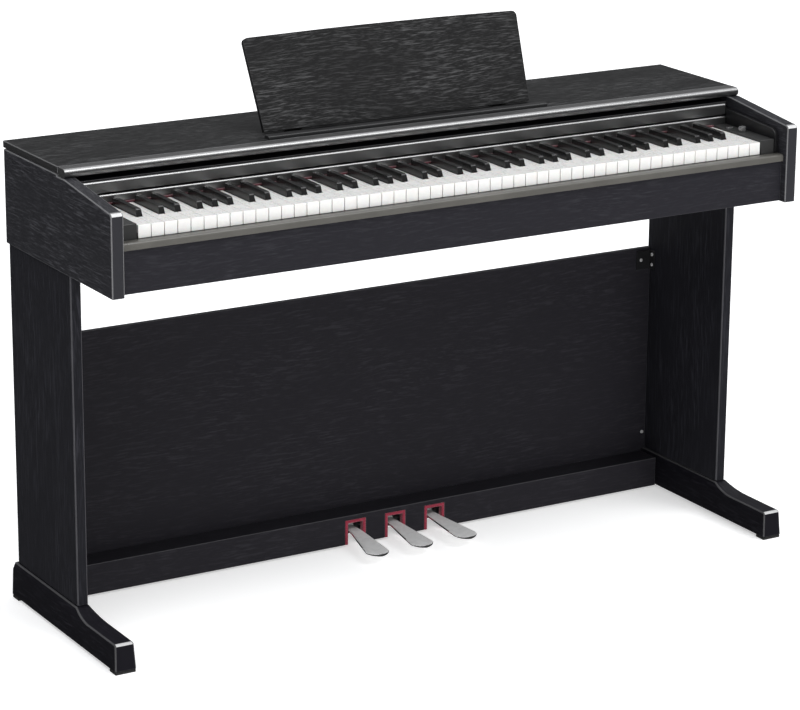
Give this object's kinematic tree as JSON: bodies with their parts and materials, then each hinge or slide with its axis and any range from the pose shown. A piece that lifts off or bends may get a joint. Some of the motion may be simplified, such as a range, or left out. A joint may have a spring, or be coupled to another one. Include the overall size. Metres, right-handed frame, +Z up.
{
  "type": "digital piano on stand",
  "caption": "Console digital piano on a panel stand with long feet: weighted keyboard, sliding key cover, folding music rest, back board and pedal box with silver pedals.",
  "frame": {"origin": "on the floor under the middle of the piano", "axes": "+X to the player's right, -Y towards the player, +Z up"},
  "size_m": [1.3566, 0.422, 0.9727],
  "materials": {
    "panel": "charcoal wood grain, satin",
    "board": "charcoal wood grain, satin",
    "bed": "matt black board",
    "rail": "charcoal wood grain, satin",
    "gloss_trim": "polished black",
    "cover": "polished black lacquer",
    "slip": "satin dark grey",
    "cheek": "satin black",
    "end_block": "satin dark grey",
    "control": "satin grey",
    "white_key": "ivory white",
    "black_key": "black",
    "key_felt": "dark red felt",
    "pedal_felt": "red felt",
    "steel": "zinc plated",
    "circuit": "solder mask",
    "speaker": "black paper cone and steel frame",
    "grille": "black mesh",
    "socket_box": "black",
    "bracket": "black",
    "screw": "zinc plated",
    "pedal": "polished",
    "pad": "black"
  },
  "bodies": {
    "piano": {"side_panel_left": "panel", "side_panel_right": "panel", "top_board": "panel", "leg_left": "panel", "leg_right": "panel", "foot_left": "panel", "foot_right": "panel", "back_board": "board", "pedal_box": "board", "key_bed": "bed", "rear_panel": "bed", "front_rail": "rail", "top_moulding": "gloss_trim", "music_ledge": "gloss_trim", "fallboard": "gloss_trim", "key_slip": "slip", "cheeks": "cheek", "end_block_left": "end_block", "end_block_right": "end_block", "key_felt": "key_felt", "pedal_felts": "pedal_felt", "key_frame": "steel", "key_rod": "steel", "rest_hinges": "steel", "pedal_bracket": "steel", "pedal_axle": "steel", "sound_board": "circuit", "speakers": "speaker", "speaker_grilles": "grille", "phones_box": "socket_box", "terminal_box": "socket_box", "brackets": "bracket", "screws": "screw", "foot_pads": "pad"},
    "cover": {"key_cover": "cover", "cover_lip": "gloss_trim"},
    "rest": {"music_rest": "panel"},
    "props": {"rest_props": "steel"},
    "power_button": {"power_button": "control"},
    "volume_knob": {"volume_knob": "control"},
    "pedal_left": {"pedal_left": "pedal"},
    "pedal_middle": {"pedal_middle": "pedal"},
    "pedal_right": {"pedal_right": "pedal"},
    "adjuster": {"adjuster": "pad"},
    "white_keys_low": {"white_keys_low": "white_key"},
    "white_keys_high": {"white_keys_high": "white_key"},
    "key_c": {"key_c": "white_key"},
    "key_d": {"key_d": "white_key"},
    "key_e": {"key_e": "white_key"},
    "key_f": {"key_f": "white_key"},
    "key_g": {"key_g": "white_key"},
    "key_a": {"key_a": "white_key"},
    "key_b": {"key_b": "white_key"},
    "black_keys_low": {"black_keys_low": "black_key"},
    "black_keys_high": {"black_keys_high": "black_key"},
    "key_c_sharp": {"key_c_sharp": "black_key"},
    "key_d_sharp": {"key_d_sharp": "black_key"},
    "key_f_sharp": {"key_f_sharp": "black_key"},
    "key_g_sharp": {"key_g_sharp": "black_key"},
    "key_a_sharp": {"key_a_sharp": "black_key"}
  },
  "joints": [
    {"name": "cover_slide", "type": "slide", "parent": "piano", "child": "cover", "axis": [0, -0.9976, -0.0698], "range_m": [0, 0.166]},
    {"name": "rest_fold", "type": "hinge", "parent": "piano", "child": "rest", "pos_m": [0, 0.05, 0.819], "axis": [1, 0, 0], "range_deg": [-67.6, 0]},
    {"name": "props_swing", "type": "hinge", "parent": "rest", "child": "props", "pos_m": [0, 0.07667, 0.88372], "axis": [1, 0, 0], "range_deg": [0, 135.2]},
    {"name": "power_press", "type": "slide", "parent": "piano", "child": "power_button", "axis": [0, 0, -1], "range_m": [0, 0.0015], "stiffness_N_per_m": 300, "springref_m": -0.004},
    {"name": "volume_turn", "type": "hinge", "parent": "piano", "child": "volume_knob", "pos_m": [0.63, -0.105, 0.757], "axis": [0, 0, 1], "range_deg": [-140, 140]},
    {"name": "adjuster_screw", "type": "slide", "parent": "piano", "child": "adjuster", "axis": [0, 0, 1], "range_m": [0, 0.005]},
    {"name": "pedal_left_press", "type": "hinge", "parent": "piano", "child": "pedal_left", "pos_m": [0, 0.178, 0.027], "axis": [1, 0, 0], "range_deg": [0, 4.5], "stiffness_Nm_per_rad": 10, "springref_deg": -8.59},
    {"name": "pedal_middle_press", "type": "hinge", "parent": "piano", "child": "pedal_middle", "pos_m": [0, 0.178, 0.027], "axis": [1, 0, 0], "range_deg": [0, 4.5], "stiffness_Nm_per_rad": 10, "springref_deg": -8.59},
    {"name": "pedal_right_press", "type": "hinge", "parent": "piano", "child": "pedal_right", "pos_m": [0, 0.178, 0.027], "axis": [1, 0, 0], "range_deg": [0, 4.5], "stiffness_Nm_per_rad": 10, "springref_deg": -8.59},
    {"name": "white_keys_low_press", "type": "hinge", "parent": "piano", "child": "white_keys_low", "pos_m": [0, 0.06, 0.742], "axis": [1, 0, 0], "range_deg": [0, 2.4], "stiffness_Nm_per_rad": 18.4, "springref_deg": -17.19},
    {"name": "white_keys_high_press", "type": "hinge", "parent": "piano", "child": "white_keys_high", "pos_m": [0, 0.06, 0.742], "axis": [1, 0, 0], "range_deg": [0, 2.4], "stiffness_Nm_per_rad": 17.6, "springref_deg": -17.19},
    {"name": "key_c_press", "type": "hinge", "parent": "piano", "child": "key_c", "pos_m": [0, 0.06, 0.742], "axis": [1, 0, 0], "range_deg": [0, 2.4], "stiffness_Nm_per_rad": 0.8, "springref_deg": -17.19},
    {"name": "key_d_press", "type": "hinge", "parent": "piano", "child": "key_d", "pos_m": [0, 0.06, 0.742], "axis": [1, 0, 0], "range_deg": [0, 2.4], "stiffness_Nm_per_rad": 0.8, "springref_deg": -17.19},
    {"name": "key_e_press", "type": "hinge", "parent": "piano", "child": "key_e", "pos_m": [0, 0.06, 0.742], "axis": [1, 0, 0], "range_deg": [0, 2.4], "stiffness_Nm_per_rad": 0.8, "springref_deg": -17.19},
    {"name": "key_f_press", "type": "hinge", "parent": "piano", "child": "key_f", "pos_m": [0, 0.06, 0.742], "axis": [1, 0, 0], "range_deg": [0, 2.4], "stiffness_Nm_per_rad": 0.8, "springref_deg": -17.19},
    {"name": "key_g_press", "type": "hinge", "parent": "piano", "child": "key_g", "pos_m": [0, 0.06, 0.742], "axis": [1, 0, 0], "range_deg": [0, 2.4], "stiffness_Nm_per_rad": 0.8, "springref_deg": -17.19},
    {"name": "key_a_press", "type": "hinge", "parent": "piano", "child": "key_a", "pos_m": [0, 0.06, 0.742], "axis": [1, 0, 0], "range_deg": [0, 2.4], "stiffness_Nm_per_rad": 0.8, "springref_deg": -17.19},
    {"name": "key_b_press", "type": "hinge", "parent": "piano", "child": "key_b", "pos_m": [0, 0.06, 0.742], "axis": [1, 0, 0], "range_deg": [0, 2.4], "stiffness_Nm_per_rad": 0.8, "springref_deg": -17.19},
    {"name": "black_keys_low_press", "type": "hinge", "parent": "piano", "child": "black_keys_low", "pos_m": [0, 0.06, 0.742], "axis": [1, 0, 0], "range_deg": [0, 2.4], "stiffness_Nm_per_rad": 12.8, "springref_deg": -17.19},
    {"name": "black_keys_high_press", "type": "hinge", "parent": "piano", "child": "black_keys_high", "pos_m": [0, 0.06, 0.742], "axis": [1, 0, 0], "range_deg": [0, 2.4], "stiffness_Nm_per_rad": 12, "springref_deg": -17.19},
    {"name": "key_c_sharp_press", "type": "hinge", "parent": "piano", "child": "key_c_sharp", "pos_m": [0, 0.06, 0.742], "axis": [1, 0, 0], "range_deg": [0, 2.4], "stiffness_Nm_per_rad": 0.8, "springref_deg": -17.19},
    {"name": "key_d_sharp_press", "type": "hinge", "parent": "piano", "child": "key_d_sharp", "pos_m": [0, 0.06, 0.742], "axis": [1, 0, 0], "range_deg": [0, 2.4], "stiffness_Nm_per_rad": 0.8, "springref_deg": -17.19},
    {"name": "key_f_sharp_press", "type": "hinge", "parent": "piano", "child": "key_f_sharp", "pos_m": [0, 0.06, 0.742], "axis": [1, 0, 0], "range_deg": [0, 2.4], "stiffness_Nm_per_rad": 0.8, "springref_deg": -17.19},
    {"name": "key_g_sharp_press", "type": "hinge", "parent": "piano", "child": "key_g_sharp", "pos_m": [0, 0.06, 0.742], "axis": [1, 0, 0], "range_deg": [0, 2.4], "stiffness_Nm_per_rad": 0.8, "springref_deg": -17.19},
    {"name": "key_a_sharp_press", "type": "hinge", "parent": "piano", "child": "key_a_sharp", "pos_m": [0, 0.06, 0.742], "axis": [1, 0, 0], "range_deg": [0, 2.4], "stiffness_Nm_per_rad": 0.8, "springref_deg": -17.19}
  ],
  "couplings": [
    {"joint": "props_swing", "follows": "rest_fold", "ratio": -2}
  ]
}
